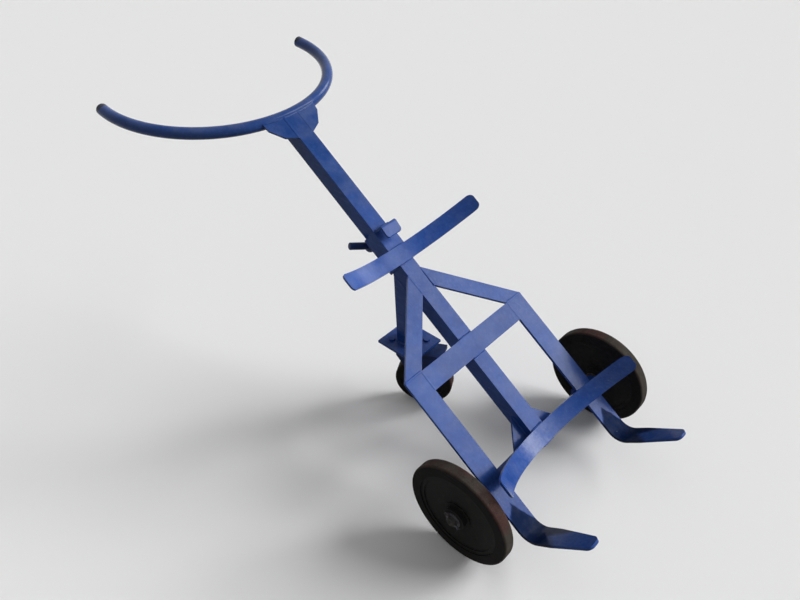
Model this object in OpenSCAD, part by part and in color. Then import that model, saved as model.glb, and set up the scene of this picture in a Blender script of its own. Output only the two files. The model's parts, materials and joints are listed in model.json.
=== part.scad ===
// Drum trolley: one square-tube mast on two wheels and a rear swivel caster.
// X runs along the axle, the toes point to -Y, the mast leans back towards +Y and Z is up.
// Inside lean() the axes are X, then along the mast, then square to its front face (the drum side).
// The parked trolley rests on three tyres; the origin is under the middle of its box.

/* [Stance] */
// Angle of the mast above the floor while parked
mast_lean = 36; // [33:0.5:39]

/* [Mast] */
// Side of the square mast tube
mast_w = 50; // [40:1:60]
// Wall of the mast tube and of the caster strut
mast_wall = 3; // [2:0.5:5]
// Length of mast below the axle line
mast_foot = 26; // [22:1:40]
// Distance up the mast from the axle line to the centre of the handle bar
handle_up = 1110; // [1000:5:1200]

/* [Frame bars] */
// Width of the flat bar of the legs and toes
leg_w = 60; // [50:1:70]
// Thickness of the legs, toes and braces
leg_t = 8; // [6:0.5:10]
// Distance between the centre lines of the two legs
leg_gap = 422; // [380:2:460]
// Height of the leg tops and of the cross bar's upper edge, along the mast
leg_top = 329; // [290:1:370]
// Width of the cross bar
cross_w = 60; // [50:1:70]
// Thickness of the cross bar
cross_t = 6; // [5:0.5:8]
// Width of the two braces
brace_w = 45; // [35:1:55]
// Height at which the braces' upper edges meet the mast
brace_top = 551; // [500:1:570]

/* [Toes] */
// Distance from the axle line down to the corner where the toes bend
toe_drop = 156; // [140:1:180]
// Slope of the toes below square to the mast
toe_slope = 16; // [10:1:25]
// Length of the toes from the corner to the tip
toe_len = 194; // [165:1:230]
// Inner radius of the bend
toe_bend_r = 38; // [20:1:55]
// Width of the toe at its tip
toe_tip_w = 42; // [38:1:48]
// Length of the tapered end of the toe
toe_taper = 122; // [60:1:130]
// Corner radius of the toe tip
toe_tip_r = 16; // [6:1:18]

/* [Saddles] */
// Width of the curved bars
saddle_w = 48; // [40:1:55]
// Thickness of the curved bars
saddle_t = 6; // [5:0.5:8]
// Radius of the lower saddle's hollow face
low_saddle_r = 350; // [320:5:400]
// Width of the lower saddle from end to end
low_saddle_span = 562; // [480:2:600]
// Radius of the upper saddle's hollow face
top_saddle_r = 390; // [340:5:450]
// Width of the upper saddle from end to end
top_saddle_span = 494; // [420:2:540]
// Corner radius of the curved bars' ends
saddle_corner = 14; // [4:1:18]

/* [Handle] */
// Outer radius of the handle pipe
pipe_r = 16.85; // [14:0.05:20]
// Wall of the handle pipe
pipe_wall = 3.2; // [2:0.1:5]
// Radius of the handle's bend, to the pipe's centre line
handle_r = 344; // [300:2:380]
// Half of the arc that the handle covers, in degrees
handle_half_angle = 93.5; // [80:0.5:105]
// Angle by which the handle's arc is turned towards its left end, in degrees
handle_turn_angle = 3; // [-5:0.5:5]
// Angle by which the handle's ring tips back from the mast's line
handle_tip_back = 31; // [20:1:45]
// Depth of the pipe's centre behind the mast's front face
handle_depth = 15.5; // [12:0.5:20]
// Reach of the handle gussets to each side of the middle
handle_gusset_x = 92; // [75:1:110]
// Length of the mast that the handle gussets cover, below the pipe
handle_gusset_m = 81; // [60:1:110]
// Thickness of all four gussets
gusset_t = 6; // [4:0.5:8]

/* [Main wheels] */
// Radius of the tyres
wheel_r = 148; // [130:1:165]
// Width of the tyres
tyre_w = 34; // [28:1:45]
// Thickness of the rubber ring
tyre_deep = 30; // [20:1:40]
// Rounding of the tyre's shoulders
tyre_round = 6; // [3:0.5:10]
// Distance from the middle to a tyre's mid plane
wheel_x = 314.5; // [300:0.5:330]
// Radius of the wheel hub
hub_r = 31; // [26:1:40]
// Length of the wheel hub
hub_len = 56; // [50:1:64]
// Radius of the axle
axle_r = 12.5; // [10:0.5:15]
// Radius of the wheel washers
washer_r = 22; // [18:1:26]
// Thickness of the wheel washers
washer_t = 3; // [2:0.5:4]
// Radius of the split pins
pin_r = 2.5; // [2:0.25:3.5]
// Thickness of the lugs that hold the axle behind the legs
lug_t = 10; // [8:1:14]
// Radius of the lugs' round ends
lug_r = 22; // [19:1:28]
// Height at which the foot gussets leave the mast
foot_gusset_m = 88; // [60:1:120]
// Reach of the foot gussets to each side of the middle
foot_gusset_x = 88; // [60:1:120]

/* [Sliding clamp] */
// Height of the sleeve above the top of the caster strut, along the mast
sleeve_rise = 2.5; // [2:0.5:300]
// Length of the sleeve
sleeve_len = 120; // [100:1:140]
// Wall of the sleeve tube
sleeve_wall = 4; // [3:0.5:6]
// Gap between the mast and the sleeve on each side
sleeve_gap = 1; // [0.5:0.1:2]
// Width of the chime hook
hook_w = 54; // [40:1:58]
// Thickness of the chime hook
hook_t = 6; // [5:0.5:8]
// Clear depth of the hook's mouth, from the sleeve to the lip
hook_mouth = 34; // [26:1:44]
// Length of the hook's lip
hook_drop = 38; // [30:1:48]
// Inner radius of the hook's bend
hook_bend = 1.5; // [0.5:0.5:6]
// Slope of the hook, down from square to the sleeve
hook_slope = 9; // [0:1:15]
// Corner radius of the hook's lip
hook_corner = 10; // [4:1:16]
// Radius of the clamp screw
screw_r = 10; // [8:0.5:12]
// Gap between the screw's boss and the nut while the clamp is tight
boss_gap = 3; // [2:0.5:6]
// Radius of the tommy bar
tommy_r = 10.5; // [7:0.5:12]
// Length of the tommy bar
tommy_len = 134; // [110:1:150]
// Slope of the tommy bar across the mast
tommy_slope = 28; // [0:1:45]

/* [Caster] */
// Distance along the floor from the mast's foot, at its front face, to the strut
caster_back = 474; // [460:1:480]
// Radius of the caster wheel
cw_r = 87.5; // [80:0.5:95]
// Width of the caster wheel
cw_w = 45; // [38:1:50]
// Thickness of the caster's rubber ring
cw_tyre = 18; // [12:1:26]
// Trail from the swivel axis to the wheel's axis
trail = 44; // [38:1:48]
// Swivel angle while parked
swivel = 28; // [0:1:45]
// Thickness of the pressed fork
fork_t = 5; // [4:0.5:6]
// Gap between the wheel and the fork's crown
crown_gap = 27; // [12:1:34]
// Reach of the crown ahead of the wheel's axis
crown_reach = 64; // [50:1:80]
// Height of the swivel bearing
race_h = 12; // [10:1:16]
// Radius of the swivel bearing
race_r = 34; // [30:1:36]
// Length of the caster's own plate, along Y
plate_len = 108; // [104:1:130]
// Width of the caster's own plate, along X
plate_w = 92; // [88:1:110]
// Thickness of the caster's own plate
plate_t = 5; // [4:0.5:8]
// Margin of the mount plate round the caster's plate
mount_margin = 15; // [8:1:22]
// Thickness of the mount plate
mount_t = 8; // [6:1:10]
// Radius of the plate bolts
bolt_r = 5; // [4:0.5:6]

/* [Hidden] */
$fn = 96;

// Paint and metal colours
paint = "#2f55a8";
rubber = "#2a2927";
iron = "#3a3a3c";
zinc = "#8f9499";

// Fits and small sizes
fit = 0.05;          // radial clearance of pins and shafts that turn
slack = 0.4;         // gap between faces that turn past each other
drill = 0.5;         // radial clearance of bolt holes
over = 1;            // cutters run this far past a face
over_turn = 4;       // degrees that turned cutters run past a face
far = 2000;          // longer than anything on the trolley
chamfer = 1.5;       // broken edge of the screw's boss
bar_chamfer = 2;     // broken edge of the axle's and tommy bar's ends
hex = 6;             // sides of a nut
smooth = 180;        // sides of the largest circles in the preview
axle_seat = 0.5;     // gap between the axle and the inside of the mast's rear wall
axle_end = 5;        // length of axle beyond the split pin
pipe_side = 4;       // wall of the spacer tubes
rim_inset = 3;       // step from the tyre's side down to the wheel's rim
rim_dish = 3;        // step from the rim down to the wheel's web
rim_lip = 10;        // width of the rim's raised ring
hub_ring = 8;        // width of the raised ring round the hub
pin_stick = 3;       // length of split pin that shows above and below the axle
pin_leg = 12;        // length of its bent legs
pin_spread = 35;     // angle of each leg
hook_inset = 3;      // distance of the hook below the sleeve's upper edge
pad_gap = 0.3;       // gap between the thrust pad and the mast
pad_side = 0.5;      // gap round the thrust pad in the nut
pad_t = 6;           // thickness of the thrust pad
spigot_r = 4;        // radius of the screw's tip inside the pad
spigot_len = 3;      // length of that tip
boss_wall = 4;       // metal of the boss round the tommy bar
fork_gap = 3;        // gap between the caster wheel and each cheek
cheek_end_r = 19.5;  // radius of the cheeks round the caster's axle
cheek_lip = 8;       // depth of the cheeks' straight edge under the crown
cw_inset = 4;        // step from the caster tyre's side down to its core
cw_dish = 8;         // depth of the core's dish
cw_lip = 8;          // width of the core's rim
cw_soft = 8;         // rounding of the caster tyre's shoulders
cw_hub_r = 22;       // radius of the core's hub
cw_bolt_r = 6;       // radius of the caster's axle bolt
cw_bolt_head = 7;    // height of its head
cw_bolt_tail = 16;   // length of bolt outside the fork, on the nut's side
king_r = 8;          // radius of the swivel's pin
king_nut_t = 10;     // thickness of its nut
king_tail = 4;       // length of the pin below the nut
plate_corner = 8;    // corner radius of the caster's own plate
bolt_inset = 14;     // distance of the plate bolts from the plate's edges
bolt_tail = 3;       // length of the bolts below their nuts

// Places worked out from the sizes above
axle_deep = mast_w - mast_wall - axle_r - axle_seat;
lean_z = wheel_r + axle_deep * cos(mast_lean);
bar_front = cross_t;
bar_rear = cross_t - leg_t;
leg_x = leg_gap / 2;
leg_in = leg_x - leg_w / 2;
leg_out = leg_x + leg_w / 2;
brace_tilt = atan(bar_front / (brace_top - leg_top));
brace_run = (brace_top - leg_top) / cos(brace_tilt);
brace_angle = atan(brace_run / (leg_out - mast_w / 2));
hub_in = wheel_x - hub_len / 2;
hub_out = wheel_x + hub_len / 2;
pin_x = hub_out + slack + washer_t + slack + pin_r;
axle_half = pin_x + pin_r + axle_end;

// The bend of the toes, in the plane square to the axle: square to the mast, then along it
toe_turn = 90 - toe_slope;
toe_flat = toe_len - toe_bend_r * tan(toe_turn / 2);
bend_m = -toe_drop + toe_bend_r * tan(toe_turn / 2);
bend_out = toe_bend_r + leg_t;
bend_at = [bar_front + toe_bend_r, bend_m];
function toe_at(along, deep) = bend_at - (toe_bend_r + deep) * [cos(toe_turn), sin(toe_turn)]
    + along * [sin(toe_turn), -cos(toe_turn)];

// Ends of the box along Y: the toes' lower tips and the handle's ends
toe_tip_up = -toe_drop - toe_len * sin(toe_slope) - leg_t * cos(toe_slope);
toe_tip_out = bar_front + toe_len * cos(toe_slope) - leg_t * sin(toe_slope);
front_y = toe_tip_up * cos(mast_lean) - toe_tip_out * sin(mast_lean);
ring_half = handle_half_angle + abs(handle_turn_angle);
ring_reach = handle_r * (1 - cos(ring_half));
ring_turn = mast_lean - handle_tip_back;
handle_y = handle_up * cos(mast_lean) + handle_depth * sin(mast_lean);
handle_end_r = pipe_r * norm([cos(ring_half) * cos(ring_turn), sin(ring_turn)]);
back_y = handle_y + ring_reach * cos(ring_turn) + handle_end_r;
lean_y = -(front_y + back_y) / 2;

// The clamp's stations, along the mast and square to it
sleeve_in = mast_w / 2 + sleeve_gap;
sleeve_out = sleeve_in + sleeve_wall;
sleeve_face = sleeve_gap + sleeve_wall;
sleeve_rear = -mast_w - sleeve_gap - sleeve_wall;
strut_top = (caster_back + mast_w / 2 - mast_w * sin(mast_lean)) / cos(mast_lean);
sleeve_low = strut_top + sleeve_rise;
sleeve_top = sleeve_low + sleeve_len;
hook_top = sleeve_top - hook_inset;
hook_low = hook_top - (hook_mouth + hook_t / 2) * sin(hook_slope)
    - (hook_drop - hook_t / 2) * cos(hook_slope) - hook_t / 2;
nut_af = 3 * screw_r;
nut_t = 1.4 * screw_r;
screw_m = sleeve_top - nut_af / 2;
pad_face = -mast_w - pad_gap;
pad_rear = pad_face - pad_t;
boss_r = tommy_r + boss_wall;
boss_len = 2 * tommy_r + 2 * boss_wall;
boss_front = sleeve_rear - nut_t - boss_gap;
tommy_n = boss_front - boss_len / 2;

// The caster's stations, from the floor up
crown_z = 2 * cw_r + crown_gap;
race_z = crown_z + fork_t;
plate_z = race_z + race_h;
mount_z = plate_z + plate_t;
strut_z = mount_z + mount_t;
fork_in = cw_w / 2 + fork_gap;
fork_out = fork_in + fork_t;
bolt_x = plate_w / 2 - bolt_inset;
bolt_y = plate_len / 2 - bolt_inset;
bolt_af = 3.4 * bolt_r;
bolt_head = 1.3 * bolt_r;
nut_h = 1.6 * bolt_r;
strut_y = lean_y + caster_back;

// Frames and helpers
module lean() translate([0, lean_y, lean_z]) rotate([mast_lean, 0, 0]) children();
module at_axle(x) translate([x, 0, -axle_deep]) rotate([0, 90, 0]) children();
module left() mirror([1, 0, 0]) children();
module slab(x, m, n)
    translate([x[0], m[0], n[0]]) cube([x[1] - x[0], m[1] - m[0], n[1] - n[0]]);
module rod(r, h) cylinder(r = r, h = h, center = true);
module turned(r, h, c = chamfer) {
    rod(r, h - 2 * c);
    for (s = [0, 1]) mirror([0, 0, s])
        translate([0, 0, h / 2 - c]) cylinder(r1 = r, r2 = r - c, h = c);
}
module hexagon(af, h) cylinder(r = af / 2 / cos(180 / hex), h = h, $fn = hex);
module rounded(x, y, r) {
    square([x - 2 * r, y], center = true);
    square([x, y - 2 * r], center = true);
    for (i = [-1, 1], j = [-1, 1]) translate([i * (x / 2 - r), j * (y / 2 - r)]) circle(r);
}

// Handle ring, also used to cope the mast and the gussets to the pipe
module ring(r, half, turn = 0) translate([0, handle_up, -handle_depth]) rotate([-handle_tip_back, 0, 0])
    translate([0, handle_r, 0]) rotate([0, 0, 270 - half - turn])
        rotate_extrude(angle = 2 * half, $fn = smooth) translate([handle_r, 0]) circle(r);
module cope(x) ring(pipe_r, asin(x / handle_r) + over_turn);

// Frame
module mast() color(paint) lean() difference() {
    slab([-mast_w / 2, mast_w / 2], [-mast_foot, handle_up], [-mast_w, 0]);
    slab([-mast_w / 2 + mast_wall, mast_w / 2 - mast_wall], [-mast_foot - over, handle_up + over],
        [-mast_w + mast_wall, -mast_wall]);
    cope(mast_w);
    at_axle(0) rod(axle_r + fit, mast_w + 2 * over);
}
module cross_bar() color(paint) lean()
    slab([-leg_in, leg_in], [leg_top - cross_w, leg_top], [0, cross_t]);

// The braces tilt, so that their front is flush with the leg's at one end and the mast's at the other
module brace() color(paint) lean() difference() {
    low = leg_out + over / tan(brace_angle);
    translate([0, leg_top, bar_front]) rotate([-brace_tilt, 0, 0]) translate([0, 0, -leg_t])
        linear_extrude(leg_t) polygon([
            [mast_w / 2, brace_run],
            [low, -over],
            [low - brace_w / sin(brace_angle), -over],
            [mast_w / 2, brace_run - brace_w / cos(brace_angle)]]);
    slab([0, far], [leg_top - far, leg_top], [-far, far]);
}
module left_brace() left() brace();
module right_brace() brace();

// Leg and toe are one flat bar, bent forward at the foot
module leg_profile() {
    sharp = bend_m - bend_out * tan(toe_turn / 2);
    difference() {
        polygon([[bar_rear, leg_top], [bar_rear, sharp], toe_at(toe_flat, leg_t), toe_at(toe_flat, 0),
            toe_at(0, 0), bend_at, [bar_front, bend_m], [bar_front, leg_top]]);
        translate(bend_at) circle(toe_bend_r);
        difference() {
            polygon([bend_at, [bar_rear - over, bend_m], [bar_rear - over, sharp - bend_out],
                toe_at(0, leg_t + over)]);
            translate(bend_at) circle(bend_out);
        }
    }
}
module toe_outline() {
    round_x = toe_flat - toe_tip_r;
    round_y = toe_tip_w / 2 - toe_tip_r;
    polygon([[-over, leg_w / 2], [toe_flat - toe_taper, leg_w / 2], [round_x, toe_tip_w / 2],
        [round_x, -toe_tip_w / 2], [toe_flat - toe_taper, -leg_w / 2], [-over, -leg_w / 2]]);
    translate([round_x, 0]) square([2 * toe_tip_r, 2 * round_y], center = true);
    for (s = [-1, 1]) translate([round_x, s * round_y]) circle(toe_tip_r);
}
module leg() color(paint) lean() translate([leg_x, 0, 0]) difference() {
    rotate([0, -90, 0]) linear_extrude(leg_w, center = true) leg_profile();
    translate([0, bend_m, bar_front + toe_bend_r]) rotate([180, 90, 0]) rotate([0, 0, toe_turn])
        translate([toe_bend_r - over, 0, 0]) rotate([90, 0, 90]) linear_extrude(leg_t + 2 * over)
            difference() {
                translate([toe_flat - toe_taper, -leg_w / 2 - over])
                    square([toe_taper + over, leg_w + 2 * over]);
                toe_outline();
            }
}
module left_leg() left() leg();
module right_leg() leg();

// A flat bar rolled to the drum's curve, its back tangent to the plane at rear
module saddle(r, span, mid, rear) translate([0, mid, rear]) intersection() {
    half = asin(span / 2 / r) + over_turn;
    translate([0, 0, r + saddle_t]) rotate([90, 0, 0]) rotate([0, 0, 270 - half])
        rotate_extrude(angle = 2 * half, $fn = smooth)
            translate([r, -saddle_w / 2 - over]) square([saddle_t, saddle_w + 2 * over]);
    translate([0, 0, -over]) linear_extrude(r) rounded(span, saddle_w, saddle_corner);
}
module lower_saddle() color(paint) lean() saddle(low_saddle_r, low_saddle_span, 0, 0);

module foot_gusset() color(paint) lean() difference() {
    translate([0, 0, -axle_deep + axle_r / 2 - gusset_t / 2]) linear_extrude(gusset_t)
        polygon([[mast_w / 2, foot_gusset_m], [foot_gusset_x, axle_r], [foot_gusset_x, 0], [mast_w / 2, 0]]);
    at_axle(0) rod(axle_r, 2 * foot_gusset_x + 2 * over);
}
module left_foot_gusset() left() foot_gusset();
module right_foot_gusset() foot_gusset();

// Axle and its mounting
module axle_lug() color(paint) lean() difference() {
    union() {
        slab([leg_x - lug_t / 2, leg_x + lug_t / 2], [-lug_r, lug_r], [-axle_deep, bar_rear]);
        at_axle(leg_x) rod(lug_r, lug_t);
    }
    at_axle(leg_x) rod(axle_r, lug_t + 2 * over);
}
module left_axle_lug() left() axle_lug();
module right_axle_lug() axle_lug();
module axle() color(paint) lean() difference() {
    at_axle(0) turned(axle_r, 2 * axle_half, bar_chamfer);
    for (s = [-1, 1]) translate([s * pin_x, 0, -axle_deep]) rotate([90, 0, 0]) rod(pin_r, 4 * axle_r);
}
module spacer_tube() color(paint) lean() {
    inner = leg_x + lug_t / 2;
    outer = hub_in - 2 * slack - washer_t;
    at_axle((inner + outer) / 2) difference() {
        rod(axle_r + pipe_side, outer - inner);
        rod(axle_r, outer - inner + 2 * over);
    }
}
module left_spacer_tube() left() spacer_tube();
module right_spacer_tube() spacer_tube();

// Handle
module handle_bar() color(paint) lean() difference() {
    ring(pipe_r, handle_half_angle, handle_turn_angle);
    ring(pipe_r - pipe_wall, handle_half_angle + over_turn, handle_turn_angle);
}

// The gussets leave the mast flush with its front and tilt back with the ring
function rise(x) = handle_r - sqrt(handle_r * handle_r - x * x);
function ring_m(x) = handle_up + rise(x) * cos(handle_tip_back);
module handle_gusset() color(paint) lean() difference() {
    reach = handle_gusset_x - mast_w / 2;
    tilt = atan((rise(handle_gusset_x) - rise(mast_w / 2)) * sin(handle_tip_back) / reach);
    translate([mast_w / 2, 0, 0]) rotate([0, tilt, 0]) translate([0, 0, -gusset_t])
        linear_extrude(gusset_t) polygon([
            [0, handle_up - handle_gusset_m],
            [0.52 * reach, handle_up - 0.78 * handle_gusset_m],
            [0.94 * reach, handle_up - 0.3 * handle_gusset_m],
            [reach, ring_m(handle_gusset_x)],
            [0, ring_m(mast_w / 2)]]);
    cope(handle_gusset_x);
    slab([0, mast_w / 2], [0, 2 * handle_up], [-mast_w, mast_w]);
}
module left_handle_gusset() left() handle_gusset();
module right_handle_gusset() handle_gusset();

// Main wheels: a cast disc with a hub, in a solid rubber ring
module tyre_profile(r, w, deep, soft) {
    translate([r - deep, -w / 2]) square([deep - soft, w]);
    translate([r - deep, soft - w / 2]) square([deep, w - 2 * soft]);
    for (s = [-1, 1]) translate([r - soft, s * (w / 2 - soft)]) circle(soft);
}
module tyre_ring(r, w, deep, soft) rotate_extrude($fn = smooth) tyre_profile(r, w, deep, soft);
module dish(outer, inner, floor_z) for (s = [0, 1]) mirror([0, 0, s]) translate([0, 0, floor_z])
    difference() {
        cylinder(r = outer, h = far);
        translate([0, 0, -over]) cylinder(r = inner, h = far + 2 * over);
    }
module wheel_disc() color(iron) lean() at_axle(wheel_x) difference() {
    rim_r = wheel_r - tyre_deep;
    rim_w = tyre_w - 2 * rim_inset;
    union() {
        rod(hub_r, hub_len);
        rod(rim_r, rim_w);
    }
    dish(rim_r - rim_lip, hub_r + hub_ring, rim_w / 2 - rim_dish);
    rod(axle_r + fit, hub_len + 2 * over);
}
module left_wheel_disc() left() wheel_disc();
module right_wheel_disc() wheel_disc();
module tyre() color(rubber) lean() at_axle(wheel_x) tyre_ring(wheel_r, tyre_w, tyre_deep, tyre_round);
module left_tyre() left() tyre();
module right_tyre() tyre();
module washers() color(zinc) lean() for (x = [hub_in - slack - washer_t / 2, hub_out + slack + washer_t / 2])
    at_axle(x) difference() {
        rod(washer_r, washer_t);
        rod(axle_r, washer_t + 2 * over);
    }
module left_washers() left() washers();
module right_washers() washers();

// Split pin: a shank through the axle, an eye above it and two bent legs below
module split_pin() color(zinc) lean() translate([pin_x, 0, -axle_deep]) {
    eye = 2 * pin_r;
    rotate([90, 0, 0]) rod(pin_r, 2 * axle_r + 2 * pin_stick);
    translate([0, axle_r + pin_stick + eye, 0]) rotate([0, 90, 0])
        rotate_extrude() translate([eye, 0]) circle(pin_r / 2);
    for (s = [-1, 1]) translate([0, -axle_r - pin_stick, s * pin_r / 2]) rotate([90 + s * pin_spread, 0, 0])
        cylinder(r = pin_r / 2, h = pin_leg);
}
module left_split_pin() left() split_pin();
module right_split_pin() split_pin();

// Sliding clamp
module clamp_sleeve() color(paint) lean() difference() {
    slab([-sleeve_out, sleeve_out], [sleeve_low, sleeve_top], [sleeve_rear, sleeve_face]);
    slab([-sleeve_in, sleeve_in], [sleeve_low - over, sleeve_top + over],
        [-mast_w - sleeve_gap, sleeve_gap]);
    translate([0, screw_m, sleeve_rear]) rod(screw_r + fit, 4 * sleeve_wall);
}
module upper_saddle() color(paint) lean()
    saddle(top_saddle_r, top_saddle_span, sleeve_low + saddle_w / 2, sleeve_face);

// Chime hook: a flat bar that slopes out from the sleeve and is bent down to a lip over the drum's rim
module hook_profile() translate([sleeve_face, hook_top]) rotate(-hook_slope) {
    outer = hook_bend + hook_t;
    corner = hook_mouth - hook_bend;
    lip_end = hook_t / 2 - hook_drop;
    translate([-hook_t, -hook_t]) square([corner + hook_t, hook_t]);
    translate([corner, -outer]) intersection() {
        difference() {
            circle(outer);
            circle(hook_bend);
        }
        square(outer);
    }
    translate([hook_mouth, lip_end]) square([hook_t, -outer - lip_end]);
    translate([hook_mouth + hook_t / 2, lip_end]) circle(hook_t / 2);
}
module chime_hook() color(paint) lean() intersection() {
    rotate([0, -90, 0]) linear_extrude(hook_w, center = true) difference() {
        hook_profile();
        translate([sleeve_face - far, hook_top - far / 2]) square(far);
    }
    translate([0, hook_low + hook_drop, 0]) linear_extrude(far) rounded(hook_w, 2 * hook_drop, hook_corner);
}
module clamp_nut() color(paint) lean() translate([0, screw_m, sleeve_rear - nut_t]) difference() {
    hexagon(nut_af, nut_t);
    translate([0, 0, -over]) cylinder(r = screw_r + fit, h = nut_t + 2 * over);
}
module clamp_screw() color(paint) lean() translate([0, screw_m, 0]) difference() {
    shank = pad_rear - fit - tommy_n;
    translate([0, 0, tommy_n]) {
        cylinder(r = screw_r, h = shank);
        cylinder(r = spigot_r, h = shank + spigot_len);
        turned(boss_r, boss_len);
    }
    translate([0, 0, tommy_n]) rotate([0, 90, -tommy_slope]) rod(tommy_r, 3 * boss_r);
}
module tommy_bar() color(paint) lean()
    translate([0, screw_m, tommy_n]) rotate([0, 90, -tommy_slope]) turned(tommy_r, tommy_len, bar_chamfer);
module thrust_pad() color(zinc) lean() translate([0, screw_m, pad_rear]) difference() {
    cylinder(r = screw_r - pad_side, h = pad_t);
    translate([0, 0, -over]) cylinder(r = spigot_r + fit, h = spigot_len + 2 * over);
}

// Rear strut and caster
module at_swivel() translate([0, strut_y, 0]) children();
module at_bolts() for (i = [-1, 1], j = [-1, 1]) translate([i * bolt_x, j * bolt_y, 0]) children();
module bored(r, h) difference() {
    children();
    translate([0, 0, -over]) cylinder(r = r, h = h + 2 * over);
}
module caster_strut() color(paint) difference() {
    at_swivel() translate([-mast_w / 2, -mast_w / 2, strut_z]) cube([mast_w, mast_w, far]);
    at_swivel() translate([-mast_w / 2 + mast_wall, -mast_w / 2 + mast_wall, strut_z - over])
        cube([mast_w - 2 * mast_wall, mast_w - 2 * mast_wall, far + 2 * over]);
    lean() slab([-mast_w, mast_w], [-far, 2 * far], [-mast_w, 2 * far]);
}
module caster_mount_plate() color(paint) at_swivel() translate([0, 0, mount_z]) difference() {
    linear_extrude(mount_t)
        square([plate_w + 2 * mount_margin, plate_len + 2 * mount_margin], center = true);
    at_bolts() translate([0, 0, -over]) cylinder(r = bolt_r + drill, h = mount_t + 2 * over);
}
module caster_top_plate() color(zinc) at_swivel() translate([0, 0, plate_z]) difference() {
    linear_extrude(plate_t) rounded(plate_w, plate_len, plate_corner);
    at_bolts() translate([0, 0, -over]) cylinder(r = bolt_r + drill, h = plate_t + 2 * over);
    translate([0, 0, -over]) cylinder(r = king_r, h = plate_t + 2 * over);
}
module plate_bolts() color(paint) at_swivel() at_bolts() {
    low = plate_z - nut_h - bolt_tail;
    translate([0, 0, strut_z]) hexagon(bolt_af, bolt_head);
    translate([0, 0, low]) cylinder(r = bolt_r, h = strut_z - low);
}
module plate_nuts() color(paint) at_swivel() at_bolts()
    translate([0, 0, plate_z - nut_h]) bored(bolt_r, nut_h) hexagon(bolt_af, nut_h);
module swivel_race() color(zinc) at_swivel() translate([0, 0, race_z + slack])
    bored(king_r, race_h) cylinder(r = race_r, h = race_h - slack);
module king_pin() color(zinc) at_swivel() {
    low = crown_z - slack - king_nut_t - king_tail;
    translate([0, 0, low]) cylinder(r = king_r, h = mount_z - low);
}
module king_nut() color(zinc) at_swivel() translate([0, 0, crown_z - slack - king_nut_t])
    bored(king_r, king_nut_t) hexagon(3 * king_r, king_nut_t);
module at_fork() at_swivel() rotate([0, 0, swivel]) children();
module at_wheel() translate([0, -trail, cw_r]) rotate([0, 90, 0]) children();
module cheek_outline() {
    front = trail + crown_reach;
    polygon([[-race_r, race_z], [front, race_z], [front, crown_z - cheek_lip], [trail + cheek_end_r, cw_r],
        [trail - cheek_end_r, cw_r], [-race_r, crown_z - cheek_lip]]);
    translate([trail, cw_r]) circle(cheek_end_r);
}
module caster_fork() color(zinc) at_fork() difference() {
    union() {
        translate([-fork_out, -trail - crown_reach, crown_z])
            cube([2 * fork_out, trail + crown_reach + race_r, fork_t]);
        for (s = [0, 1]) mirror([s, 0, 0])
            translate([fork_in, 0, 0]) rotate([90, 0, 90]) linear_extrude(fork_t)
                mirror([1, 0]) cheek_outline();
    }
    translate([0, 0, crown_z - over]) cylinder(r = king_r + fit, h = fork_t + 2 * over);
    at_wheel() rod(cw_bolt_r, 2 * fork_out + 2 * over);
}
module caster_wheel_core() color(iron) at_fork() at_wheel() difference() {
    core_r = cw_r - cw_tyre;
    core_w = cw_w - 2 * cw_inset;
    union() {
        rod(core_r, core_w);
        rod(cw_hub_r, 2 * (fork_in - slack));
    }
    dish(core_r - cw_lip, cw_hub_r + hub_ring, core_w / 2 - cw_dish);
    rod(cw_bolt_r + fit, 2 * cw_w);
}
module caster_tyre() color(rubber) at_fork() at_wheel() tyre_ring(cw_r, cw_w, cw_tyre, cw_soft);
module caster_axle_bolt() color(zinc) at_fork() at_wheel() translate([0, 0, -fork_out]) {
    cylinder(r = cw_bolt_r, h = 2 * fork_out + cw_bolt_tail);
    translate([0, 0, -cw_bolt_head]) hexagon(3 * cw_bolt_r, cw_bolt_head);
}
module caster_axle_nut() color(zinc) at_fork() at_wheel() translate([0, 0, fork_out])
    bored(cw_bolt_r, 2 * cw_bolt_r) hexagon(3 * cw_bolt_r, 1.7 * cw_bolt_r);

mast();
cross_bar();
left_brace();
right_brace();
left_leg();
right_leg();
lower_saddle();
left_foot_gusset();
right_foot_gusset();
left_axle_lug();
right_axle_lug();
axle();
left_spacer_tube();
right_spacer_tube();
handle_bar();
left_handle_gusset();
right_handle_gusset();
left_wheel_disc();
right_wheel_disc();
left_tyre();
right_tyre();
left_washers();
right_washers();
left_split_pin();
right_split_pin();
clamp_sleeve();
upper_saddle();
chime_hook();
clamp_nut();
clamp_screw();
tommy_bar();
thrust_pad();
caster_strut();
caster_mount_plate();
caster_top_plate();
plate_bolts();
plate_nuts();
swivel_race();
king_pin();
king_nut();
caster_fork();
caster_wheel_core();
caster_tyre();
caster_axle_bolt();
caster_axle_nut();
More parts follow.
